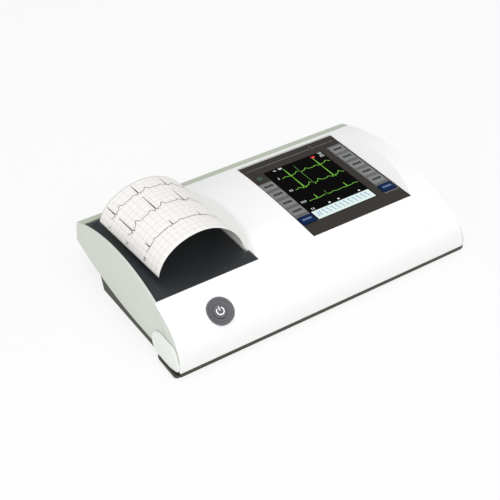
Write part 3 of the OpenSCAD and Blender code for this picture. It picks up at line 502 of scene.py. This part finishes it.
# Keys: silicone caps with a crowned top and a printed mark, which rise through the film. They
# are grey, and the front one of each column is blue.
key_grey = plastic("key_silicone", (120, 122, 121), 0.55, grain=1500, depth=0.00002)
key_blue = plastic("blue_silicone", (3, 32, 72), 0.55, grain=1500, depth=0.00002,
    Specular_IOR_Level=0.08)
key_ink = plastic("key_print", (22, 22, 24), 0.6, Specular_IOR_Level=0.1)
key_ink_pale = plastic("key_print_pale", (112, 132, 168), 0.6, Specular_IOR_Level=0.1)
bars = [(-0.0038, -0.0022), (-0.0017, -0.0004), (0.0001, 0.0017), (0.0022, 0.0038)]
for node in [n for n in frame["nodes"] if n.startswith("key_")]:
    low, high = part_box(node)
    blue = "blue" in node
    key = eased(node, 0.00032, node + "_cap", lambda p: p.z > deck_z, 3, 40)
    dress(key, key_blue if blue else key_grey)
    x, y = (low.x + high.x) / 2, (low.y + high.y) / 2
    mark = ribbon(node + "_mark", [[(x + a, y), (x + b, y)] for a, b in bars],
        0.0020 if blue else 0.0026, lambda u, v: (u, v, high.z + print_lift),
        key_ink_pale if blue else key_ink)
    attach(mark, node)

# Display: a black liquid-crystal panel behind a clear window. Its picture is drawn with lit
# lines: three leads with a sweep gap, a heart, digits, and a pale bar of blue ticks in front.
def lit(name, rgb, strength=1.0):
    made = plastic(name, (8, 8, 8), 0.3)
    shader = made.node_tree.nodes["Principled BSDF"]
    shader.inputs["Emission Color"].default_value = colour(*rgb)
    shader.inputs["Emission Strength"].default_value = strength
    return made


glass_black = plastic("window_black", (3, 3, 3), 0.3, grain=300, depth=0, mottle=0.1,
    Specular_IOR_Level=0.02)
dress_nodes(glass_black, "display_window")
dress_nodes(plastic("display_metal", (60, 62, 64), 0.4), "lcd_module")
window_low, window_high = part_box("display_window")
lit_green = lit("lit_green", (118, 196, 52))
lit_dim = lit("lit_dim_green", (72, 140, 44))
lit_white = lit("lit_white", (226, 234, 236))
lit_red = lit("lit_red", (226, 44, 62))
lit_mint = lit("lit_mint", (222, 238, 233))
lit_blue = lit("lit_blue", (106, 144, 206))


def on_glass(u, v, lift=0.00006):
    return (u, v, window_high.z + lift)


def on_bar(u, v):
    return on_glass(u, v, 0.00012)


# each lead: its height on the screen, then the heights of its spike and its wave
rows = ((0.0324, 0.0100, 0.0021), (0.0143, 0.0182, 0.0030), (-0.0033, 0.0055, 0.0008))
spikes = (0.0404, 0.0686)
screen = []
for base, peak, wave in rows:
    left = trace(0.0325, 0.0484, spikes[:1], base, peak, wave)
    right = trace(0.0498, 0.0790, (0.0490, spikes[1]), base, peak, wave)
    screen += [left, [p for p in right if p[0] > 0.0500]]
old = [[(0.0496, base - 0.0005), (0.0499, base + peak * 0.92)] for base, peak, wave in rows]
bars = []
bar_half, bar_pitch = 0.0012, 0.0018
for middle, y, count in ((0.0300, 0.0335, 1), (0.0289, 0.0155, 2), (0.0282, -0.0017, 3),
        (0.0289, -0.0127, 2)):
    for i in range(count):
        x = middle + bar_pitch * (i - (count - 1) / 2)
        bars.append([(x, y - bar_half), (x, y + bar_half)])
# each digit as strokes on a grid one cell wide and two high
strokes = {"7": ((0, 2, 1, 2), (1, 2, 1, 0)),
    "2": ((0, 2, 1, 2), (1, 2, 1, 1), (1, 1, 0, 1), (0, 1, 0, 0), (0, 0, 1, 0)),
    "5": ((1, 2, 0, 2), (0, 2, 0, 1), (0, 1, 1, 1), (1, 1, 1, 0), (1, 0, 0, 0))}
digits = []
digit_cell, digit_pitch = 0.0012, 0.0019
for text, left, y in (("72", 0.0757, 0.0437), ("25", 0.0757, 0.0402)):
    for i, char in enumerate(text):
        x = left + digit_pitch * i
        for x0, y0, x1, y1 in strokes[char]:
            digits.append([(x + digit_cell * x0, y + digit_cell * y0),
                (x + digit_cell * x1, y + digit_cell * y1)])
icons = [[(0.0318, 0.0443), (0.0330, 0.0443)], [(0.0334, 0.0434), (0.0334, 0.0452)],
    [(0.0343, 0.0437), (0.0343, 0.0449)]]
icons += [[(0.0370, y), (0.0402, y)] for y in (0.0437, 0.0444, 0.0451)]
dot_half, dot_y = 0.0008, -0.0129
dots = [[(x - dot_half, dot_y), (x + dot_half, dot_y)] for x in (0.0442, 0.0527, 0.0723)]
heart, heart_steps = [], 40
for a in [math.tau * k / heart_steps for k in range(heart_steps)]:
    rise = 13 * math.cos(a) - 5 * math.cos(2 * a) - 2 * math.cos(3 * a)
    heart.append((0.0697 + 0.00185 * math.sin(a) ** 3, 0.0432 + 0.00012 * rise))
ticks = []
for x in [0.0345 + 0.00402 * i for i in range(11)]:
    ticks.append([(x - 0.0005, -0.0169), (x + 0.0005, -0.0232)])
    ticks.append([(x - 0.0011, -0.0184), (x - 0.0002, -0.0172)])
for x in (0.0285, 0.0304):
    ticks.append([(x + 0.0004, -0.0172), (x - 0.0004, -0.0226)])
for name, drawing, width, lay, material in (("screen_traces", screen, 0.0005, on_glass, lit_green),
        ("screen_old_trace", old, 0.00045, on_glass, lit_dim),
        ("screen_labels", bars, 0.0006, on_glass, lit_white),
        ("screen_digits", digits, 0.00042, on_glass, lit_white),
        ("screen_icons", icons, 0.0005, on_glass, lit_white),
        ("screen_dots", dots, 0.0016, on_glass, lit_white),
        ("screen_ticks", ticks, 0.00068, on_bar, lit_blue)):
    drawn = ribbon(name, drawing, width, lay, material)
    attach(drawn, "housing")
bar_in, bar_y = 0.0010, -0.0206
bar = ribbon("screen_bar", [[(window_low.x + bar_in, bar_y), (window_high.x - bar_in, bar_y)]],
    0.0103, on_glass, lit_mint)
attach(bar, "housing")
data = bpy.data.meshes.new("screen_heart")
data.from_pydata([on_glass(*p) for p in reversed(heart)], [], [tuple(range(heart_steps))])
pulse = bpy.data.objects.new("screen_heart", data)
bpy.context.collection.objects.link(pulse)
dress(pulse, lit_red)
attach(pulse, "housing")

# Status lamp: a small translucent dome in a dark hole, with a faint green ring around it.
led = plastic("lamp_green", (44, 60, 50), 0.3)
dress_nodes(led, "status_led")
lamp_low, lamp_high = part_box("status_led")
bpy.ops.object.select_all(action="DESELECT")
lamp_middle = ((lamp_low.x + lamp_high.x) / 2, (lamp_low.y + lamp_high.y) / 2, lamp_high.z)
bpy.ops.mesh.primitive_torus_add(major_radius=0.0019, minor_radius=0.0003, major_segments=48,
    minor_segments=10, location=lamp_middle)
halo = bpy.context.object
halo.name = "lamp_ring"
bpy.ops.object.transform_apply(location=True, rotation=True, scale=True)
smooth(halo)
dress(halo, plastic("lamp_ring_green", (70, 106, 86), 0.4))
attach(halo, "housing")

# Power button: a dished grey ring pressed into the nose, and a round cap in its middle that
# travels inwards and carries a white stand-by symbol.
ring_grey = plastic("ring_grey", (88, 89, 93), 0.42, grain=1500, depth=0.00001)
cap_grey = plastic("cap_grey", (84, 85, 89), 0.42, grain=1500, depth=0.00001)
symbol_white = plastic("symbol_white", (240, 241, 242), 0.5)
ring = eased("power_ring", 0.00035, "button_ring", lambda p: p.z > 0.02, 3)
dress(ring, ring_grey)
button = eased("power_button", 0.0004, "button_cap", lambda p: p.z > 0.027, 3)
dress(button, cap_grey)
# the button's middle on the nose, a cylinder about a line at height nose_z
tilt = math.radians(33)
nose_r, nose_z, button_x = 0.030345, 0.006, -0.0852
middle = (button_x, cover_low.y + nose_r * (1 - math.sin(tilt)), nose_z + nose_r * math.cos(tilt))


def on_button(u, v, lift=-0.00014):
    return (middle[0] + u, middle[1] + v * math.cos(tilt) - lift * math.sin(tilt),
        middle[2] + v * math.sin(tilt) + lift * math.cos(tilt))


symbol_r = 0.0027
sweep = [math.radians(128 + 284 * k / 40) for k in range(41)]
symbol = ribbon("button_symbol", [[(symbol_r * math.cos(a), symbol_r * math.sin(a)) for a in sweep],
    [(0, 0.0034), (0, 0.0004)]], 0.0009, on_button, symbol_white)
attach(symbol, "power_cap")

# Studio: a plain white floor, one large softbox over the machine and three smaller ones in front
# and on the left, and an even white surround.
bpy.ops.object.select_all(action="DESELECT")
bpy.ops.mesh.primitive_plane_add(size=60)
floor = bpy.context.object
floor.name = "floor"
ground = bpy.data.materials.new("floor_white")
ground.use_nodes = True
tree = ground.node_tree
shader = tree.nodes["Principled BSDF"]
shader.inputs["Base Color"].default_value = (0.82, 0.82, 0.82, 1)
shader.inputs["Roughness"].default_value = 0.9
# straight and mirrored looks at the floor are mostly an even glow, so that it stays pale
glow_share = 0.8
ways = tree.nodes.new("ShaderNodeLightPath").outputs
direct = calc(tree, "MAXIMUM", ways["Is Camera Ray"], ways["Is Glossy Ray"])
seen = calc(tree, "MAXIMUM", direct, ways["Is Transmission Ray"])
glow = tree.nodes.new("ShaderNodeEmission")
blend = tree.nodes.new("ShaderNodeMixShader")
tree.links.new(calc(tree, "MULTIPLY", seen, glow_share), blend.inputs["Fac"])
tree.links.new(shader.outputs["BSDF"], blend.inputs[1])
tree.links.new(glow.outputs["Emission"], blend.inputs[2])
tree.links.new(blend.outputs["Shader"], tree.nodes["Material Output"].inputs["Surface"])
dress(floor, ground)


def softbox(name, place, aim, width, depth, power):
    # a flat lamp that faces a point
    light = bpy.data.lights.new(name, "AREA")
    light.shape = "RECTANGLE"
    light.size, light.size_y, light.energy = width, depth, power
    lamp = bpy.data.objects.new(name, light)
    bpy.context.collection.objects.link(lamp)
    lamp.location = place
    run = [b - a for a, b in zip(place, aim)]
    flat = math.hypot(run[0], run[1])
    lamp.rotation_euler = (math.atan2(flat, -run[2]), 0, math.atan2(run[1], run[0]) - math.pi / 2)
    return lamp


softbox("overhead", (0, 0.02, 1.15), (0, 0, 0), 1.2, 1.0, 4.7)
softbox("front_high", (0.1, -0.75, 0.95), (0, 0, 0), 1.3, 0.8, 3.6)
softbox("left_side", (-1.1, -0.35, 0.45), (0, 0, 0.03), 0.8, 0.6, 4.0)
softbox("front_low", (0.5, -1.1, 0.35), (0, 0, 0.02), 0.9, 0.5, 1.3)
world = bpy.data.worlds.new("surround")
bpy.context.scene.world = world
world.use_nodes = True
surround = world.node_tree.nodes["Background"].inputs
surround["Color"].default_value = (1, 1, 1, 1)
surround["Strength"].default_value = 0.55
bpy.context.scene.view_settings.view_transform = "Standard"

lens = bpy.data.cameras.new("camera")
lens.lens = 81.5
lens.sensor_width = 36
camera = bpy.data.objects.new("camera", lens)
bpy.context.collection.objects.link(camera)
camera.location = (-0.3905, -0.5552, 0.5428)
look_down, turn_right = 38.35, 33.76
camera.rotation_euler = (math.radians(90 - look_down), 0, math.radians(-turn_right))
bpy.context.scene.camera = camera
